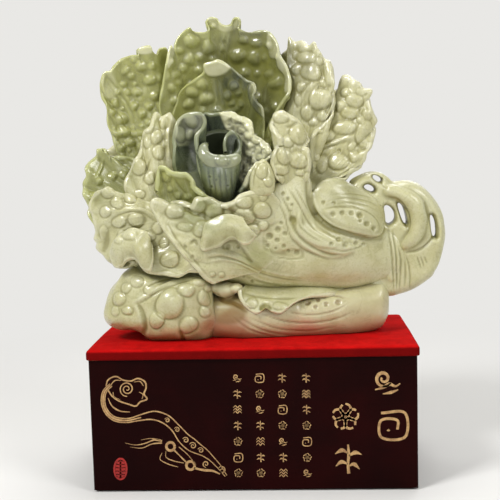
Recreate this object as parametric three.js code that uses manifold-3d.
// A jade carving of a cabbage lying on its stalk, on a lacquered display plinth with a velvet pad.
// Millimetres. +Z is up, +X is the viewer's right and +Y points away from the viewer.
// The origin is the middle of the plinth's underside.

import * as THREE from 'three';
import { mergeVertices } from 'three/addons/utils/BufferGeometryUtils.js';
import Module from 'manifold-3d';

const wasm = await Module();
wasm.setup();

// Driving sizes of the plinth
const SEAT_GAP = 0.3;
const felt = { thickness: 2, inset: 4 };
const box = { width: 326, depth: 170, height: 134, wall: 9, top: 9, bottom: 6, raise: 3 };
const block = { leg: 24, inset: 12 };
const rib = { thickness: 12 };
const pad = { overhang: 3, board: 6, wadding: 2.5, cover: 2.5, edgeRound: 4.5, boardRound: 2 };

// Driving sizes of the carving. Places in it are shares of its width, height and depth.
const carving = { width: 380, height: 333, depth: 150, shift: 13.5 };
const bud = { wall: 5, flare: 3 };
const rootSlab = { thickness: 30, roundOver: 9, edgeDraft: 4 };

// Plain counts that set how fine the facets are
const LEAF_STEPS = 16;
const LEAF_ROWS_SHARES = [0, 0.4, 0.78, 1];
const BROAD_LEAF = { steps: 20, rowsShares: [0, 0.2, 0.4, 0.6, 0.8, 1] };
const RING_SIDES = 16;
const LIMB_SIDES = 8;
const LIMB_STEPS = 9;
const DOME_SHARES = [1, 0.8, 0.35];
const ROOT_POINTS = 30;
const CURVE_DIVISIONS = 120;

// Plain numbers that set how forms swell, taper and turn over
const STEM_FULLNESS = 2.5;
const DOME_FULLNESS = 2.6;
const TAPER_POWER = 0.7;
const RUFFLE_POWER = 3;
const CURL_START_SHARE = 0.7;
const RIB_SPREAD_SHARE = 0.1;
const RIM_PROBE_SHARE = 0.97;
const NORMAL_PROBE_SHARE = 0.01;
const BUD_MOUTH_POWER = 0.6;
const BUD_FLARE_POWER = 6;
const BUD_SWELL_SHARE = 0.25;

const BOX_BASE = felt.thickness;
const BOX_TOP = BOX_BASE + box.height;
const PAD_TOP = BOX_TOP + pad.board + pad.wadding + pad.cover;
const CARVING_BASE = PAD_TOP + SEAT_GAP;

// Finishes
const finish = (color, roughness) => new THREE.MeshStandardMaterial({ color, roughness, metalness: 0 });
const PALE_JADE = () => finish(0xd2d3ae, 0.32);
const OLIVE_JADE = () => finish(0xa3a566, 0.28);
const DARK_JADE = () => finish(0x59644f, 0.26);
const STAINED_JADE = () => finish(0xc4a98c, 0.36);
const VELVET = () => finish(0xb3141a, 0.95);
const LACQUER = () => finish(0x2a090c, 0.3);
const BARE_BOARD = () => finish(0xb08d62, 0.8);
const WADDING = () => finish(0xe9e4da, 0.95);
const FELT = () => finish(0x20201e, 0.98);

// A place in the carving: across from its left end, up from the pad, and behind the plinth's middle
function at([across, up, behind]) {
  return new THREE.Vector3(
    carving.shift + (across - 0.5) * carving.width,
    behind * carving.depth,
    CARVING_BASE + up * carving.height,
  );
}

function curveThrough(shares) {
  const points = shares.map(at);
  if (points.length === 2) return new THREE.LineCurve3(points[0], points[1]);
  const curve = new THREE.CatmullRomCurve3(points, false, 'centripetal');
  curve.arcLengthDivisions = CURVE_DIVISIONS;
  return curve;
}

// A closed body from rings of points, each with as many points as the next, with both ends closed
function loft(rings) {
  const sides = rings[0].length;
  const positions = [];
  const faces = [];
  for (const ring of rings) {
    for (const point of ring) positions.push(point.x, point.y, point.z);
  }
  for (let i = 0; i < rings.length - 1; i += 1) {
    for (let j = 0; j < sides; j += 1) {
      const a = i * sides + j;
      const b = i * sides + (j + 1) % sides;
      faces.push(a, b, b + sides, a, b + sides, a + sides);
    }
  }
  const last = (rings.length - 1) * sides;
  for (let low = 0, high = sides - 1; high - low > 1; low += 1, high -= 1) {
    faces.push(low, high, low + 1);
    faces.push(last + low, last + low + 1, last + high);
    if (high - low > 2) {
      faces.push(low + 1, high, high - 1);
      faces.push(last + low + 1, last + high - 1, last + high);
    }
  }
  const geometry = new THREE.BufferGeometry();
  geometry.setAttribute('position', new THREE.BufferAttribute(new Float32Array(positions), 3));
  geometry.setIndex(faces);
  return facingOut(geometry);
}

function signedVolume(geometry) {
  const place = geometry.getAttribute('position');
  const index = geometry.getIndex();
  const [a, b, c] = [new THREE.Vector3(), new THREE.Vector3(), new THREE.Vector3()];
  let sum = 0;
  for (let i = 0; i < index.count; i += 3) {
    a.fromBufferAttribute(place, index.getX(i));
    b.fromBufferAttribute(place, index.getX(i + 1));
    c.fromBufferAttribute(place, index.getX(i + 2));
    sum += a.dot(b.cross(c)) / 6;
  }
  return sum;
}

function facingOut(geometry) {
  if (signedVolume(geometry) > 0) return geometry;
  const index = geometry.getIndex();
  for (let i = 0; i < index.count; i += 3) {
    const first = index.getX(i);
    index.setX(i, index.getX(i + 1));
    index.setX(i + 1, first);
  }
  return geometry;
}

// A leaf is a blade between the line it grows from and its ruffled rim.
// bowShare lifts its middle toward the viewer and curlShare turns its rim over,
// both as shares of the leaf's length at that place. A broad leaf has more rows and steps,
// and a midrib that stands ribHeight proud at its root and fades toward its rim.
class Leaf {
  constructor(spec) {
    this.rootLine = curveThrough(spec.rootShares);
    this.rimLine = curveThrough(spec.rimShares);
    this.rootThickness = spec.rootThickness;
    this.rimThickness = spec.rimThickness;
    this.bowShare = spec.bowShare;
    this.curlShare = spec.curlShare;
    this.ruffleShare = spec.ruffleShare;
    this.waves = spec.waves;
    this.ribHeight = spec.ribHeight ?? 0;
    this.steps = spec.steps ?? LEAF_STEPS;
    this.rowsShares = spec.rowsShares ?? LEAF_ROWS_SHARES;
    this.face = new THREE.Vector3(...spec.face).normalize();
  }

  point(along, out) {
    const base = this.rootLine.getPointAt(along);
    const rim = this.rimLine.getPointAt(along);
    const reach = rim.clone().sub(base);
    const length = reach.length();
    const turn = Math.max(0, (out - CURL_START_SHARE) / (1 - CURL_START_SHARE));
    const bow = this.bowShare * Math.sin(Math.PI * out);
    const curl = this.curlShare * turn * turn;
    const ruffle = this.ruffleShare * Math.sin(2 * Math.PI * this.waves * along) * out ** RUFFLE_POWER;
    const lift = bow + curl + ruffle;
    return base.addScaledVector(reach, out).addScaledVector(this.face, lift * length);
  }

  normal(along, out) {
    const alongStep = along < 0.5 ? NORMAL_PROBE_SHARE : -NORMAL_PROBE_SHARE;
    const outStep = out < 0.5 ? NORMAL_PROBE_SHARE : -NORMAL_PROBE_SHARE;
    const here = this.point(along, out);
    const side = this.point(along + alongStep, out).sub(here).multiplyScalar(Math.sign(alongStep));
    const up = this.point(along, out + outStep).sub(here).multiplyScalar(Math.sign(outStep));
    const normal = side.cross(up).normalize();
    return normal.dot(this.face) < 0 ? normal.negate() : normal;
  }

  ring(along) {
    const front = [];
    const back = [];
    const nearRib = Math.max(0, 1 - Math.abs(along - 0.5) / RIB_SPREAD_SHARE);
    for (const out of this.rowsShares) {
      const middle = this.point(along, out);
      const half = THREE.MathUtils.lerp(this.rootThickness, this.rimThickness, out ** TAPER_POWER) / 2;
      const normal = this.normal(along, out);
      front.push(middle.clone().addScaledVector(normal, half + this.ribHeight * nearRib * (1 - out)));
      back.unshift(middle.clone().addScaledVector(normal, -half));
    }
    const edge = this.point(along, 1);
    const outward = edge.clone().sub(this.point(along, RIM_PROBE_SHARE)).normalize();
    edge.addScaledVector(outward, this.rimThickness / 2);
    return [...front, edge, ...back];
  }

  geometry() {
    const rings = [];
    for (let i = 0; i <= this.steps; i += 1) rings.push(this.ring(i / this.steps));
    return loft(rings);
  }
}

// A trunk is a row of full oval rings across the carving
function trunk(stations) {
  return loft(stations.map(({ centreShares, halfHeightShare, halfDepthShare }) => {
    const centre = at(centreShares);
    const ring = [];
    for (let i = 0; i < RING_SIDES; i += 1) {
      const angle = 2 * Math.PI * i / RING_SIDES;
      const round = 2 / STEM_FULLNESS;
      const up = Math.sign(Math.sin(angle)) * Math.abs(Math.sin(angle)) ** round;
      const behind = Math.sign(Math.cos(angle)) * Math.abs(Math.cos(angle)) ** round;
      ring.push(new THREE.Vector3(
        centre.x,
        centre.y + behind * halfDepthShare * carving.depth,
        centre.z + up * halfHeightShare * carving.height,
      ));
    }
    return ring;
  }));
}

// A boss is a rounded body over a closed outline. Its front swells by frontShare of the carving's
// depth and its back by backShare.
function boss({ outlineShares, frontShare, backShare }) {
  const outline = new THREE.CatmullRomCurve3(outlineShares.map(at), true, 'centripetal');
  const edge = outline.getSpacedPoints(RING_SIDES + 2).slice(0, -1);
  const centre = edge.reduce((sum, point) => sum.add(point), new THREE.Vector3()).divideScalar(edge.length);
  const layer = (share, swell) => edge.map((point) => {
    const moved = centre.clone().lerp(point, share);
    moved.y += swell * carving.depth * Math.sqrt(Math.max(0, 1 - share ** DOME_FULLNESS));
    return moved;
  });
  const back = [...DOME_SHARES].reverse().slice(0, -1).map((share) => layer(share, backShare));
  const front = DOME_SHARES.map((share) => layer(share, -frontShare));
  return loft([...back, ...front]);
}

// A limb is round all along its path, thick where its radius shares of the carving's width say
function limb({ pathShares, radiusShares }) {
  const path = curveThrough(pathShares);
  const rings = [];
  for (let i = 0; i <= LIMB_STEPS; i += 1) {
    const along = i / LIMB_STEPS;
    const station = along * (radiusShares.length - 1);
    const before = Math.min(Math.floor(station), radiusShares.length - 2);
    const share = THREE.MathUtils.lerp(radiusShares[before], radiusShares[before + 1], station - before);
    const tangent = path.getTangentAt(along);
    const side = new THREE.Vector3(0, 1, 0).cross(tangent).normalize();
    const over = tangent.clone().cross(side);
    const radius = share * carving.width;
    const ring = [];
    for (let j = 0; j < LIMB_SIDES; j += 1) {
      const angle = 2 * Math.PI * j / LIMB_SIDES;
      ring.push(path.getPointAt(along).addScaledVector(side, radius * Math.cos(angle))
        .addScaledVector(over, radius * Math.sin(angle)));
    }
    rings.push(ring);
  }
  return loft(rings);
}

// The heart's bud is a cup whose mouth leans toward the viewer, with a lip that flares
function budCup({ centreShares, footShare, lipShare, leanShares }) {
  const path = curveThrough(centreShares);
  const foot = footShare * carving.width;
  const lip = lipShare * carving.width;
  const lean = new THREE.Vector3(0, leanShares[0] * carving.depth, leanShares[1] * carving.height);
  const across = new THREE.Vector3(1, 0, 0);
  const ring = (along, inset) => {
    const swell = Math.sin(Math.PI * along) * (lip - foot) * BUD_SWELL_SHARE;
    const flare = bud.flare * along ** BUD_FLARE_POWER;
    const radius = THREE.MathUtils.lerp(foot, lip, along ** BUD_MOUTH_POWER) + swell + flare - inset;
    const level = new THREE.Vector3(0, 1, 0).multiplyScalar(radius);
    const tilted = lean.clone().multiplyScalar(radius / lip);
    const back = level.lerp(tilted, along);
    const centre = path.getPointAt(along);
    const points = [];
    for (let i = 0; i < RING_SIDES; i += 1) {
      const angle = 2 * Math.PI * i / RING_SIDES;
      points.push(centre.clone().addScaledVector(across, radius * Math.cos(angle))
        .addScaledVector(back, Math.sin(angle)));
    }
    return points;
  };
  const outside = [0, 0.2, 0.45, 0.7, 0.9, 1].map((along) => ring(along, 0));
  const inside = [0.98, 0.8, 0.55].map((along) => ring(along, bud.wall));
  return loft([...outside, ...inside]);
}

// Carved leaves, front to back. Shares are of the carving's width, height and depth.
const TOWARD_VIEWER = [0, -1, 0.1];
const LEAVES = {
  front_fold: {
    rootShares: [[0.355, 0.36, -0.41], [0.405, 0.385, -0.43], [0.445, 0.37, -0.425]],
    rimShares: [
      [0.335, 0.31, -0.4], [0.35, 0.285, -0.415], [0.375, 0.29, -0.44], [0.395, 0.32, -0.465],
      [0.43, 0.325, -0.465], [0.45, 0.315, -0.455], [0.46, 0.34, -0.44],
    ],
    face: [0, -1, 0.2], bowShare: 0.16, curlShare: 0, ruffleShare: 0.02, waves: 3,
    rootThickness: 10, rimThickness: 6, material: PALE_JADE,
  },
  front_left_fold: {
    rootShares: [[0.115, 0.32, -0.335], [0.155, 0.345, -0.36], [0.195, 0.33, -0.375]],
    rimShares: [
      [0.095, 0.28, -0.305], [0.095, 0.235, -0.305], [0.12, 0.23, -0.345], [0.145, 0.26, -0.4],
      [0.175, 0.265, -0.425], [0.19, 0.23, -0.44], [0.205, 0.255, -0.425], [0.2, 0.295, -0.4],
    ],
    face: [-0.2, -1, 0.2], bowShare: 0.2, curlShare: 0, ruffleShare: 0.02, waves: 3,
    rootThickness: 10, rimThickness: 6, material: PALE_JADE,
  },
  lower_fold: {
    rootShares: [[0.445, 0.145, -0.21], [0.525, 0.135, -0.19], [0.62, 0.125, -0.17]],
    rimShares: [
      [0.43, 0.15, -0.31], [0.44, 0.12, -0.335], [0.475, 0.095, -0.345], [0.52, 0.095, -0.335],
      [0.56, 0.11, -0.305], [0.625, 0.12, -0.26],
    ],
    face: [0, -1, 0.1], bowShare: 0.14, curlShare: 0, ruffleShare: 0.02, waves: 3,
    rootThickness: 10, rimThickness: 6, material: PALE_JADE,
  },
  heart_curl: {
    rootShares: [[0.4, 0.55, -0.215], [0.44, 0.565, -0.18]],
    rimShares: [
      [0.4, 0.585, -0.24], [0.4, 0.615, -0.235], [0.415, 0.635, -0.21], [0.435, 0.635, -0.185],
      [0.445, 0.6, -0.175],
    ],
    face: [-0.4, -1, 0.2], bowShare: -0.1, curlShare: 0, ruffleShare: 0, waves: 1,
    rootThickness: 7, rimThickness: 4, material: DARK_JADE,
  },
  heart_left: {
    rootShares: [[0.33, 0.425, -0.24], [0.375, 0.42, -0.24]],
    rimShares: [
      [0.3, 0.46, -0.265], [0.265, 0.52, -0.25], [0.255, 0.565, -0.25], [0.26, 0.625, -0.25],
      [0.27, 0.68, -0.235], [0.3, 0.705, -0.215], [0.33, 0.695, -0.2], [0.345, 0.66, -0.21],
      [0.335, 0.6, -0.24], [0.33, 0.53, -0.28], [0.34, 0.465, -0.285],
    ],
    face: [0.3, -1, 0], bowShare: -0.12, curlShare: 0.06, ruffleShare: 0.01, waves: 2,
    rootThickness: 12, rimThickness: 6, material: DARK_JADE,
  },
  heart_side: {
    rootShares: [[0.235, 0.385, -0.28], [0.355, 0.385, -0.285]],
    rimShares: [
      [0.22, 0.47, -0.295], [0.225, 0.515, -0.305], [0.24, 0.535, -0.32], [0.26, 0.52, -0.345],
      [0.285, 0.52, -0.36], [0.31, 0.51, -0.375], [0.32, 0.485, -0.375], [0.345, 0.46, -0.36],
      [0.37, 0.435, -0.335],
    ],
    face: TOWARD_VIEWER, bowShare: -0.1, curlShare: 0.08, ruffleShare: 0.02, waves: 3,
    rootThickness: 12, rimThickness: 5, material: OLIVE_JADE,
  },
  right_inner: {
    rootShares: [[0.535, 0.475, -0.28], [0.615, 0.47, -0.255]],
    rimShares: [
      [0.515, 0.51, -0.34], [0.525, 0.555, -0.345], [0.54, 0.585, -0.325], [0.545, 0.64, -0.29],
      [0.53, 0.675, -0.255], [0.55, 0.695, -0.25], [0.575, 0.695, -0.225], [0.605, 0.67, -0.205],
      [0.62, 0.625, -0.225], [0.61, 0.585, -0.255], [0.63, 0.57, -0.275], [0.63, 0.52, -0.29],
      [0.62, 0.48, -0.29],
    ],
    face: [0, -1, 0], bowShare: 0.08, curlShare: 0, ruffleShare: 0.02, waves: 4,
    rootThickness: 16, rimThickness: 9, material: PALE_JADE,
  },
  front_centre: {
    rootShares: [[0.475, 0.215, -0.285], [0.57, 0.275, -0.3], [0.575, 0.385, -0.29]],
    rimShares: [
      [0.345, 0.185, -0.335], [0.325, 0.225, -0.38], [0.295, 0.27, -0.41], [0.26, 0.325, -0.43],
      [0.23, 0.38, -0.43], [0.205, 0.44, -0.385], [0.235, 0.435, -0.375], [0.295, 0.44, -0.385],
      [0.37, 0.425, -0.395], [0.415, 0.43, -0.385], [0.455, 0.455, -0.37], [0.49, 0.475, -0.355],
      [0.525, 0.46, -0.335],
    ],
    face: TOWARD_VIEWER, bowShare: 0.03, curlShare: 0, ruffleShare: 0.012, waves: 5,
    rootThickness: 14, rimThickness: 8, material: PALE_JADE,
  },
  left_inner: {
    rootShares: [[0.215, 0.36, -0.235], [0.33, 0.41, -0.2]],
    rimShares: [
      [0.135, 0.44, -0.235], [0.13, 0.505, -0.25], [0.15, 0.555, -0.26], [0.17, 0.575, -0.245],
      [0.175, 0.62, -0.23], [0.19, 0.66, -0.215], [0.205, 0.705, -0.18], [0.22, 0.705, -0.15],
      [0.25, 0.705, -0.12], [0.255, 0.65, -0.13], [0.26, 0.59, -0.16], [0.265, 0.535, -0.19],
    ],
    face: [-0.3, -1, 0], bowShare: 0.06, curlShare: 0, ruffleShare: 0.02, waves: 5,
    rootThickness: 16, rimThickness: 8, material: PALE_JADE,
  },
  front_left: {
    rootShares: [[0.195, 0.42, -0.255], [0.265, 0.32, -0.315], [0.325, 0.24, -0.32]],
    rimShares: [
      [0.11, 0.445, -0.25], [0.06, 0.41, -0.22], [0.04, 0.34, -0.2], [0.035, 0.29, -0.19],
      [0.06, 0.25, -0.215], [0.1, 0.22, -0.25], [0.12, 0.235, -0.29], [0.145, 0.255, -0.33],
      [0.175, 0.25, -0.365], [0.19, 0.225, -0.385], [0.24, 0.21, -0.4], [0.29, 0.21, -0.39],
      [0.325, 0.215, -0.355],
    ],
    face: [-0.2, -1, 0.1], bowShare: 0.06, curlShare: 0, ruffleShare: 0.015, waves: 5,
    rootThickness: 18, rimThickness: 8, material: PALE_JADE,
  },
  heart_crust: {
    rootShares: [[0.365, 0.42, -0.17], [0.425, 0.42, -0.18]],
    rimShares: [
      [0.315, 0.54, -0.075], [0.33, 0.655, -0.055], [0.35, 0.695, -0.04], [0.39, 0.7, -0.05],
      [0.425, 0.7, -0.08], [0.46, 0.68, -0.105], [0.485, 0.65, -0.145], [0.505, 0.61, -0.185],
      [0.53, 0.585, -0.235], [0.51, 0.555, -0.27], [0.485, 0.535, -0.29], [0.46, 0.49, -0.295],
      [0.44, 0.455, -0.285],
    ],
    face: [-0.2, -1, 0.1], bowShare: -0.1, curlShare: 0.06, ruffleShare: 0.025, waves: 6,
    rootThickness: 12, rimThickness: 7, material: DARK_JADE,
  },
  far_left: {
    rootShares: [[0.185, 0.31, -0.16], [0.225, 0.43, -0.065]],
    rimShares: [
      [0.04, 0.35, -0.145], [0.015, 0.4, -0.145], [0.005, 0.46, -0.135], [0.005, 0.495, -0.12],
      [0.02, 0.51, -0.095], [0.02, 0.54, -0.08], [0.035, 0.565, -0.055], [0.04, 0.59, -0.04],
      [0.065, 0.59, -0.025], [0.07, 0.56, 0], [0.1, 0.57, 0.025], [0.155, 0.56, 0],
    ],
    face: [-0.2, -1, 0.1], bowShare: -0.05, curlShare: 0.04, ruffleShare: 0.02, waves: 5,
    rootThickness: 18, rimThickness: 6, material: OLIVE_JADE,
  },
  outer_right: {
    rootShares: [[0.6, 0.45, 0.05], [0.635, 0.42, -0.06]],
    rimShares: [
      [0.61, 0.65, 0.06], [0.66, 0.735, 0.06], [0.71, 0.765, 0.03], [0.735, 0.81, -0.015],
      [0.75, 0.8, -0.025], [0.775, 0.775, -0.04], [0.8, 0.755, -0.055], [0.795, 0.71, -0.055],
      [0.815, 0.665, -0.065], [0.81, 0.635, -0.065], [0.805, 0.595, -0.08], [0.78, 0.55, -0.095],
      [0.75, 0.51, -0.105], [0.725, 0.495, -0.12], [0.69, 0.495, -0.12], [0.655, 0.465, -0.12],
    ],
    face: [0.1, -1, 0], bowShare: 0.03, curlShare: 0, ruffleShare: 0.015, waves: 6,
    rootThickness: 18, rimThickness: 7, material: PALE_JADE,
  },
  upper_right: {
    rootShares: [[0.555, 0.42, 0.12], [0.615, 0.46, 0]],
    rimShares: [
      [0.57, 0.61, 0.16], [0.6, 0.7, 0.165], [0.59, 0.785, 0.165], [0.58, 0.86, 0.155],
      [0.58, 0.93, 0.12], [0.6, 0.915, 0.065], [0.63, 0.905, 0.02], [0.65, 0.915, -0.01],
      [0.675, 0.865, -0.04], [0.695, 0.82, -0.065], [0.7, 0.76, -0.08], [0.695, 0.7, -0.095],
      [0.665, 0.645, -0.095], [0.625, 0.585, -0.12],
    ],
    face: [0.1, -1, 0], bowShare: 0.04, curlShare: 0, ruffleShare: 0.012, waves: 6,
    rootThickness: 18, rimThickness: 7, material: PALE_JADE,
  },
  upper_left: {
    rootShares: [[0.18, 0.465, 0.035], [0.25, 0.51, 0.065]],
    rimShares: [
      [0.12, 0.545, 0.015], [0.09, 0.6, 0], [0.07, 0.675, -0.025], [0.07, 0.74, -0.025],
      [0.055, 0.785, -0.04], [0.065, 0.835, -0.025], [0.085, 0.845, 0], [0.115, 0.885, 0.025],
      [0.16, 0.9, 0.055], [0.2, 0.915, 0.055], [0.22, 0.91, 0.095], [0.24, 0.9, 0.12],
      [0.245, 0.815, 0.145], [0.25, 0.715, 0.16],
    ],
    face: [-0.1, -1, 0], bowShare: -0.06, curlShare: 0.02, ruffleShare: 0.012, waves: 5,
    rootThickness: 18, rimThickness: 6, material: OLIVE_JADE,
  },
  inner_back: {
    rootShares: [[0.34, 0.46, 0.03], [0.445, 0.455, 0.03]],
    rimShares: [
      [0.285, 0.585, 0.025], [0.29, 0.705, 0.015], [0.315, 0.79, 0.025], [0.345, 0.855, 0.015],
      [0.385, 0.865, 0], [0.42, 0.855, 0.015], [0.44, 0.82, 0.025], [0.47, 0.795, 0],
      [0.49, 0.76, -0.025], [0.49, 0.72, -0.025], [0.51, 0.67, -0.025], [0.5, 0.58, -0.015],
    ],
    face: TOWARD_VIEWER, bowShare: -0.1, curlShare: 0.05, ruffleShare: 0.01, waves: 3,
    rootThickness: 16, rimThickness: 6, material: OLIVE_JADE,
  },
  top_back: {
    rootShares: [[0.33, 0.455, 0.15], [0.475, 0.45, 0.15]],
    rimShares: [
      [0.27, 0.59, 0.09], [0.23, 0.73, 0.05], [0.225, 0.81, 0.045], [0.24, 0.86, 0.055],
      [0.26, 0.92, 0.08], [0.28, 0.96, 0.135], [0.32, 0.965, 0.185], [0.365, 0.99, 0.2],
      [0.4, 0.965, 0.225], [0.435, 0.99, 0.215], [0.465, 0.96, 0.215], [0.515, 0.95, 0.175],
      [0.545, 0.92, 0.105], [0.56, 0.86, 0.055], [0.58, 0.795, 0.02], [0.575, 0.745, 0.01],
      [0.525, 0.675, 0.025], [0.495, 0.595, 0.06],
    ],
    face: TOWARD_VIEWER, bowShare: -0.08, curlShare: 0.03, ruffleShare: 0.008, waves: 6,
    rootThickness: 18, rimThickness: 6, material: OLIVE_JADE,
  },
  rear_right: {
    rootShares: [[0.5, 0.3, 0.36], [0.53, 0.43, 0.29]],
    rimShares: [
      [0.61, 0.38, 0.37], [0.71, 0.47, 0.28], [0.765, 0.55, 0.17], [0.775, 0.64, 0.12],
      [0.735, 0.72, 0.13], [0.66, 0.75, 0.2], [0.59, 0.71, 0.29],
    ],
    face: [0.3, 1, 0.1], bowShare: 0.1, curlShare: 0.04, ruffleShare: 0.025, waves: 5,
    rootThickness: 18, rimThickness: 7, ribHeight: 4, material: PALE_JADE,
  },
  rear_left: {
    rootShares: [[0.27, 0.2, 0.12], [0.355, 0.42, 0.26]],
    rimShares: [
      [0.125, 0.21, 0.02], [0.08, 0.245, 0.025], [0.06, 0.3, 0.035], [0.02, 0.35, 0.05],
      [0.015, 0.42, 0.07], [0.04, 0.48, 0.09], [0.025, 0.54, 0.115], [0.06, 0.595, 0.155],
      [0.095, 0.62, 0.185], [0.11, 0.675, 0.22], [0.155, 0.695, 0.26], [0.2, 0.66, 0.31],
    ],
    face: [-0.7, 1, 0.1], bowShare: 0.1, curlShare: 0.05, ruffleShare: 0.03, waves: 5,
    rootThickness: 16, rimThickness: 7, ribHeight: 4, ...BROAD_LEAF, material: PALE_JADE,
  },
  rear_centre: {
    rootShares: [[0.37, 0.2, 0.16], [0.45, 0.175, 0.16], [0.53, 0.2, 0.18]],
    rimShares: [
      [0.33, 0.27, 0.22], [0.27, 0.37, 0.27], [0.225, 0.45, 0.29], [0.215, 0.53, 0.305],
      [0.18, 0.6, 0.315], [0.19, 0.69, 0.33], [0.215, 0.745, 0.34], [0.225, 0.81, 0.36],
      [0.285, 0.855, 0.39], [0.34, 0.87, 0.41], [0.385, 0.9, 0.425], [0.44, 0.87, 0.43],
      [0.5, 0.85, 0.42], [0.535, 0.785, 0.39], [0.575, 0.735, 0.36], [0.575, 0.66, 0.335],
      [0.6, 0.6, 0.315], [0.585, 0.51, 0.29], [0.58, 0.43, 0.275], [0.55, 0.33, 0.24],
    ],
    face: [0, 1, 0.1], bowShare: 0.1, curlShare: 0.04, ruffleShare: 0.025, waves: 5,
    rootThickness: 14, rimThickness: 7, ribHeight: 7, ...BROAD_LEAF, material: OLIVE_JADE,
  },
};

// Rounded masses of the stone, each over its closed outline
const BOSSES = {
  heart_lobe: {
    outlineShares: [
      [0.475, 0.44, -0.33], [0.467, 0.48, -0.335], [0.475, 0.52, -0.34], [0.49, 0.545, -0.33],
      [0.51, 0.55, -0.32], [0.525, 0.53, -0.32], [0.535, 0.49, -0.325], [0.525, 0.445, -0.325],
    ],
    frontShare: 0.055, backShare: 0.06, material: PALE_JADE,
  },
  base_leaf: {
    outlineShares: [
      [0.345, 0.005, -0.2], [0.28, -0.01, -0.22], [0.19, 0, -0.24], [0.155, 0.03, -0.24],
      [0.095, 0.035, -0.215], [0.06, 0.06, -0.2], [0.06, 0.11, -0.19], [0.075, 0.165, -0.18],
      [0.105, 0.205, -0.18], [0.14, 0.235, -0.19], [0.19, 0.215, -0.22], [0.27, 0.2, -0.24],
      [0.34, 0.195, -0.24], [0.36, 0.12, -0.22], [0.37, 0.06, -0.21],
    ],
    frontShare: 0.2, backShare: 0.26, material: PALE_JADE,
  },
  petiole_front: {
    outlineShares: [
      [0.5, 0.43, -0.27], [0.535, 0.445, -0.26], [0.58, 0.45, -0.245], [0.615, 0.45, -0.225],
      [0.625, 0.425, -0.22], [0.645, 0.355, -0.23], [0.69, 0.31, -0.235], [0.745, 0.27, -0.235],
      [0.715, 0.25, -0.245], [0.645, 0.26, -0.255], [0.585, 0.27, -0.265], [0.515, 0.26, -0.27],
      [0.48, 0.31, -0.27],
    ],
    frontShare: 0.05, backShare: 0.04, material: PALE_JADE,
  },
  petiole_upper: {
    outlineShares: [
      [0.635, 0.435, -0.215], [0.645, 0.465, -0.2], [0.67, 0.485, -0.185], [0.715, 0.49, -0.165],
      [0.75, 0.465, -0.16], [0.78, 0.425, -0.17], [0.8, 0.385, -0.19], [0.805, 0.34, -0.21],
      [0.795, 0.3, -0.23], [0.765, 0.305, -0.235], [0.72, 0.32, -0.24], [0.67, 0.35, -0.24],
      [0.64, 0.39, -0.235],
    ],
    frontShare: 0.07, backShare: 0.05, material: PALE_JADE,
  },
  petiole_back: {
    outlineShares: [
      [0.455, 0.415, 0.24], [0.56, 0.45, 0.24], [0.685, 0.44, 0.225], [0.805, 0.41, 0.2],
      [0.84, 0.325, 0.2], [0.825, 0.23, 0.2], [0.71, 0.165, 0.215], [0.565, 0.15, 0.225],
      [0.465, 0.21, 0.24], [0.425, 0.32, 0.255],
    ],
    frontShare: 0.06, backShare: 0.08, material: PALE_JADE,
  },
  rear_low: {
    outlineShares: [
      [0.09, 0.02, 0.115], [0.075, 0.115, 0.125], [0.13, 0.19, 0.15], [0.26, 0.22, 0.175],
      [0.42, 0.195, 0.19], [0.52, 0.115, 0.19], [0.54, 0.02, 0.175], [0.3, -0.01, 0.16],
    ],
    frontShare: 0.2, backShare: 0.12, material: PALE_JADE,
  },
};

const HEAD_CORE = {
  centreShares: [0.39, 0.37, 0.055], halfAcrossShare: 0.165, halfDepthShare: 0.27, halfUpShare: 0.185,
};

const HEART_BUD = {
  centreShares: [
    [0.385, 0.415, -0.21], [0.387, 0.49, -0.25], [0.388, 0.55, -0.26], [0.385, 0.6, -0.245],
  ],
  footShare: 0.022, lipShare: 0.056, leanShares: [0.105, 0.042],
};

const STALK = [
  { centreShares: [0.335, 0.285, -0.055], halfHeightShare: 0.115, halfDepthShare: 0.22 },
  { centreShares: [0.43, 0.29, -0.04], halfHeightShare: 0.145, halfDepthShare: 0.265 },
  { centreShares: [0.54, 0.285, -0.015], halfHeightShare: 0.15, halfDepthShare: 0.27 },
  { centreShares: [0.655, 0.29, 0], halfHeightShare: 0.16, halfDepthShare: 0.265 },
  { centreShares: [0.755, 0.285, 0], halfHeightShare: 0.15, halfDepthShare: 0.25 },
  { centreShares: [0.815, 0.28, 0], halfHeightShare: 0.15, halfDepthShare: 0.22 },
];

const LOWER_HEAD = [
  { centreShares: [0.33, 0.06, -0.025], halfHeightShare: 0.075, halfDepthShare: 0.25 },
  { centreShares: [0.455, 0.06, -0.025], halfHeightShare: 0.085, halfDepthShare: 0.3 },
  { centreShares: [0.595, 0.055, 0], halfHeightShare: 0.08, halfDepthShare: 0.26 },
  { centreShares: [0.735, 0.06, 0], halfHeightShare: 0.075, halfDepthShare: 0.22 },
  { centreShares: [0.83, 0.08, 0], halfHeightShare: 0.05, halfDepthShare: 0.15 },
];

// Round limbs of the root: the strand round its outside and the finger curled inside it
const LIMBS = {
  root_loop: {
    pathShares: [
      [0.85, 0.465, -0.01], [0.91, 0.455, -0.03], [0.955, 0.415, -0.045], [0.98, 0.355, -0.05],
      [0.988, 0.295, -0.05], [0.98, 0.235, -0.045], [0.955, 0.18, -0.035], [0.905, 0.15, -0.02],
    ],
    radiusShares: [0.022, 0.026, 0.021, 0.015, 0.013, 0.016, 0.022, 0.026],
  },
  root_finger: {
    pathShares: [
      [0.85, 0.42, -0.03], [0.9, 0.42, -0.05], [0.93, 0.375, -0.07], [0.925, 0.315, -0.075],
      [0.895, 0.285, -0.07], [0.865, 0.28, -0.06],
    ],
    radiusShares: [0.014, 0.021, 0.024, 0.024, 0.019, 0.011],
  },
};

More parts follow.
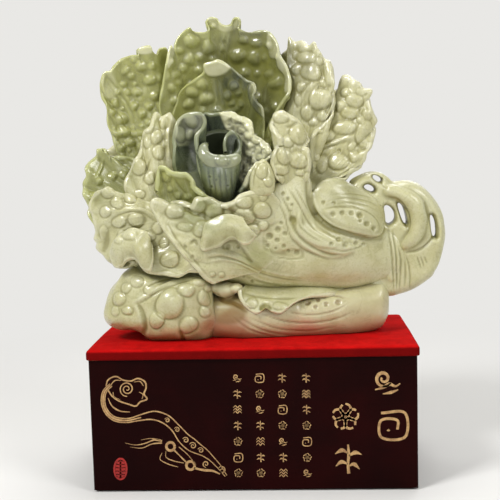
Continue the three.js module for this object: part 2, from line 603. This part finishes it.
const ROOT = {
  outlineShares: [
    [0.8, 0.39], [0.775, 0.42], [0.757, 0.455], [0.762, 0.487], [0.79, 0.505], [0.82, 0.505],
    [0.85, 0.48], [0.89, 0.475], [0.945, 0.45], [0.98, 0.39], [1, 0.305], [0.99, 0.235],
    [0.965, 0.165], [0.915, 0.13], [0.845, 0.115], [0.805, 0.15], [0.795, 0.27],
  ],
  // Each hole is a slot: its middle, half its length, half its width, and its lean in degrees
  holes: [
    { centreShares: [0.81, 0.485], halfLongShare: 0.01, halfWideShare: 0.005, lean: 60 },
    { centreShares: [0.79, 0.455], halfLongShare: 0.012, halfWideShare: 0.005, lean: 60 },
    { centreShares: [0.848, 0.366], halfLongShare: 0.027, halfWideShare: 0.014, lean: 10 },
    { centreShares: [0.882, 0.372], halfLongShare: 0.034, halfWideShare: 0.01, lean: 18 },
    { centreShares: [0.966, 0.325], halfLongShare: 0.036, halfWideShare: 0.011, lean: 8 },
  ],
};

function headCore() {
  const { centreShares, halfAcrossShare, halfDepthShare, halfUpShare } = HEAD_CORE;
  const core = new THREE.SphereGeometry(1, RING_SIDES, RING_SIDES / 2);
  core.scale(halfAcrossShare * carving.width, halfDepthShare * carving.depth, halfUpShare * carving.height);
  const centre = at(centreShares);
  core.translate(centre.x, centre.y, centre.z);
  return core;
}

// The root is a slab with a round edge, cut through by slots between its strands
function rootSlabGeometry() {
  const flat = (shares) => {
    const place = at([...shares, 0]);
    return new THREE.Vector2(place.x, place.z);
  };
  const upright = (shape, thickness, rounding) => {
    const geometry = new THREE.ExtrudeGeometry(shape, { depth: thickness, curveSegments: 5, ...rounding });
    geometry.rotateX(Math.PI / 2);
    geometry.translate(0, thickness / 2, 0);
    return geometry;
  };
  const outline = new THREE.SplineCurve([...ROOT.outlineShares, ROOT.outlineShares[0]].map(flat));
  const core = rootSlab.thickness - 2 * rootSlab.roundOver;
  const slab = upright(new THREE.Shape(outline.getSpacedPoints(ROOT_POINTS).slice(0, -1)), core, {
    bevelEnabled: true,
    bevelThickness: rootSlab.roundOver,
    bevelSize: rootSlab.edgeDraft,
    bevelOffset: -rootSlab.edgeDraft,
    bevelSegments: 2,
  });
  const slots = ROOT.holes.map(({ centreShares, halfLongShare, halfWideShare, lean }) => {
    const centre = flat(centreShares);
    const slot = new THREE.Shape();
    const halfLong = halfLongShare * carving.height;
    const halfWide = halfWideShare * carving.width;
    const turn = THREE.MathUtils.degToRad(lean);
    slot.absellipse(centre.x, centre.y, halfWide, halfLong, 0, 2 * Math.PI, false, turn);
    return upright(slot, 2 * rootSlab.thickness, { bevelEnabled: false });
  });
  return geometryOf(slots.reduce((left, slot) => left.subtract(solidOf(slot)), solidOf(slab)));
}

// Solids, for cutting one piece to its neighbour
const MERGE_DISTANCE = 1e-4;

function merged(geometry) {
  const bare = geometry.clone();
  bare.deleteAttribute('normal');
  bare.deleteAttribute('uv');
  return mergeVertices(bare, MERGE_DISTANCE);
}

function solidOf(geometry) {
  const shared = merged(geometry);
  return new wasm.Manifold(new wasm.Mesh({
    numProp: 3,
    vertProperties: new Float32Array(shared.getAttribute('position').array),
    triVerts: new Uint32Array(shared.getIndex().array),
  }));
}

function geometryOf(solid) {
  const { vertProperties, triVerts } = solid.getMesh();
  const geometry = new THREE.BufferGeometry();
  geometry.setAttribute('position', new THREE.BufferAttribute(new Float32Array(vertProperties), 3));
  geometry.setIndex(Array.from(triVerts));
  return geometry;
}

// The same form, larger by the seat gap all round
function grown(geometry) {
  const shared = merged(geometry);
  shared.computeVertexNormals();
  const place = shared.getAttribute('position');
  const normal = shared.getAttribute('normal');
  for (let i = 0; i < place.count; i += 1) {
    place.setXYZ(
      i,
      place.getX(i) + SEAT_GAP * normal.getX(i),
      place.getY(i) + SEAT_GAP * normal.getY(i),
      place.getZ(i) + SEAT_GAP * normal.getZ(i),
    );
  }
  shared.deleteAttribute('normal');
  return shared;
}

function largest(solid) {
  return solid.decompose().reduce((best, part) => (part.volume() > best.volume() ? part : best));
}

// Everything below the pad's top is cut away from the stone
function padCut() {
  const reach = carving.width * 2;
  const below = new THREE.BoxGeometry(reach, reach, carving.height);
  below.translate(0, 0, CARVING_BASE - carving.height / 2);
  return solidOf(below);
}

const assembly = new THREE.Group();

function place(name, geometry, material, parent = assembly) {
  const mesh = new THREE.Mesh(geometry, material);
  mesh.name = name;
  parent.add(mesh);
  return mesh;
}

// The carving: each piece is cut by those placed before it and keeps its largest body
const stone = new THREE.Group();
const cutters = [padCut()];

function carve(name, geometry, material) {
  const body = cutters.reduce((left, cutter) => left.subtract(cutter), solidOf(geometry));
  place(name, geometryOf(largest(body)), material, stone);
  cutters.push(solidOf(grown(geometry)).add(solidOf(geometry)));
}

function carveLeaf(name) {
  carve(name, new Leaf(LEAVES[name]).geometry(), LEAVES[name].material());
}

function carveBoss(name) {
  carve(name, boss(BOSSES[name]), BOSSES[name].material());
}

carve('head_core', headCore(), PALE_JADE());
carve('heart_bud', budCup(HEART_BUD), DARK_JADE());
['front_fold', 'front_left_fold', 'lower_fold', 'heart_curl', 'heart_left', 'heart_side'].forEach(carveLeaf);
carveBoss('heart_lobe');
['right_inner', 'front_centre', 'left_inner', 'front_left', 'heart_crust'].forEach(carveLeaf);
['base_leaf', 'petiole_front', 'petiole_upper'].forEach(carveBoss);
Object.entries(LIMBS).forEach(([name, spec]) => carve(name, limb(spec), PALE_JADE()));
carve('root', rootSlabGeometry(), PALE_JADE());
carve('stalk', trunk(STALK), PALE_JADE());
carve('lower_head', trunk(LOWER_HEAD), STAINED_JADE());
['far_left', 'outer_right', 'upper_right', 'upper_left', 'inner_back', 'top_back'].forEach(carveLeaf);
carveBoss('petiole_back');
['rear_right', 'rear_left', 'rear_centre'].forEach(carveLeaf);
carveBoss('rear_low');
assembly.add(stone);

// The plinth

// A panel whose upright ends are mitred, standing on its long edge, outer face at its origin's -Y
function mitredPanel(length, height, thickness) {
  const half = length / 2 - SEAT_GAP / 2;
  const outline = new THREE.Shape([
    new THREE.Vector2(-half, 0),
    new THREE.Vector2(half, 0),
    new THREE.Vector2(half - thickness, thickness),
    new THREE.Vector2(thickness - half, thickness),
  ]);
  return new THREE.ExtrudeGeometry(outline, { depth: height, bevelEnabled: false });
}

function addPanel(name, length, turn, distance) {
  const panel = place(name, mitredPanel(length, box.height, box.wall), LACQUER());
  panel.rotation.z = turn;
  panel.position.set(distance * Math.sin(turn), -distance * Math.cos(turn), BOX_BASE);
}

addPanel('front_panel', box.width, 0, box.depth / 2);
addPanel('right_panel', box.depth, Math.PI / 2, box.width / 2);
addPanel('back_panel', box.width, Math.PI, box.depth / 2);
addPanel('left_panel', box.depth, -Math.PI / 2, box.width / 2);

function board(width, depth, thickness, bottom) {
  const geometry = new THREE.BoxGeometry(width, depth, thickness);
  geometry.translate(0, 0, bottom + thickness / 2);
  return geometry;
}

const insideWidth = box.width - 2 * (box.wall + SEAT_GAP);
const insideDepth = box.depth - 2 * (box.wall + SEAT_GAP);
const bottomLevel = BOX_BASE + box.raise;
const topLevel = BOX_TOP - box.top;
place('top_panel', board(insideWidth, insideDepth, box.top, topLevel), BARE_BOARD());
place('bottom_panel', board(insideWidth, insideDepth, box.bottom, bottomLevel), BARE_BOARD());

const ribBottom = bottomLevel + box.bottom;
place('centre_rib', board(rib.thickness, insideDepth, topLevel - ribBottom, ribBottom), BARE_BOARD());

// Three cornered blocks, glued into the corners between the bottom and the top panel
const blockOutline = new THREE.Shape([
  new THREE.Vector2(0, 0),
  new THREE.Vector2(block.leg, 0),
  new THREE.Vector2(0, block.leg),
]);
const blockHeight = topLevel - ribBottom - 2 * block.inset;
[[-1, -1], [1, -1], [1, 1], [-1, 1]].forEach(([sideX, sideY], i) => {
  const geometry = new THREE.ExtrudeGeometry(blockOutline, { depth: blockHeight, bevelEnabled: false });
  const corner = place(`corner_block_${i + 1}`, geometry, BARE_BOARD());
  corner.rotation.z = i * Math.PI / 2;
  corner.position.set(sideX * insideWidth / 2, sideY * insideDepth / 2, ribBottom + block.inset);
});

place('base_felt', board(box.width - 2 * felt.inset, box.depth - 2 * felt.inset, felt.thickness, 0), FELT());

// The pad: a board with rounded corners, wadding on it, and velvet over both with its sides down
const padWidth = box.width + 2 * pad.overhang;
const padDepth = box.depth + 2 * pad.overhang;
const padRound = pad.boardRound + pad.cover;

function roundedOutline(width, depth, radius) {
  const [x, y] = [width / 2, depth / 2];
  const outline = new THREE.Shape();
  outline.moveTo(radius - x, -y);
  outline.lineTo(x - radius, -y);
  outline.absarc(x - radius, radius - y, radius, -Math.PI / 2, 0);
  outline.lineTo(x, y - radius);
  outline.absarc(x - radius, y - radius, radius, 0, Math.PI / 2);
  outline.lineTo(radius - x, y);
  outline.absarc(radius - x, y - radius, radius, Math.PI / 2, Math.PI);
  outline.lineTo(-x, radius - y);
  outline.absarc(radius - x, radius - y, radius, Math.PI, 1.5 * Math.PI);
  return outline;
}

function slab(width, depth, radius, thickness, bottom) {
  const geometry = new THREE.ExtrudeGeometry(roundedOutline(width, depth, radius), {
    depth: thickness,
    bevelEnabled: false,
    curveSegments: 2,
  });
  geometry.translate(0, 0, bottom);
  return geometry;
}

const innerWidth = padWidth - 2 * (pad.cover + SEAT_GAP);
const innerDepth = padDepth - 2 * (pad.cover + SEAT_GAP);
const padLayer = (thickness, bottom) => slab(innerWidth, innerDepth, pad.boardRound, thickness, bottom);
place('pad_board', padLayer(pad.board, BOX_TOP), BARE_BOARD());
place('pad_wadding', padLayer(pad.wadding - SEAT_GAP, BOX_TOP + pad.board), WADDING());

function velvetCover() {
  const round = pad.edgeRound / 2;
  const height = PAD_TOP - BOX_TOP;
  const outer = new THREE.ExtrudeGeometry(roundedOutline(padWidth, padDepth, padRound), {
    depth: height - 2 * round,
    bevelEnabled: true,
    bevelThickness: round,
    bevelSize: round,
    bevelOffset: -round,
    bevelSegments: 2,
    curveSegments: 2,
  });
  outer.translate(0, 0, BOX_TOP + round);
  const hollowWidth = padWidth - 2 * pad.cover;
  const hollowDepth = padDepth - 2 * pad.cover;
  const hollowHeight = pad.board + pad.wadding;
  const overrun = pad.cover;
  const hollow = slab(hollowWidth, hollowDepth, pad.boardRound, hollowHeight + overrun, BOX_TOP - overrun);
  return geometryOf(solidOf(outer).subtract(solidOf(hollow)));
}

place('velvet_cover', velvetCover(), VELVET());

export default assembly;
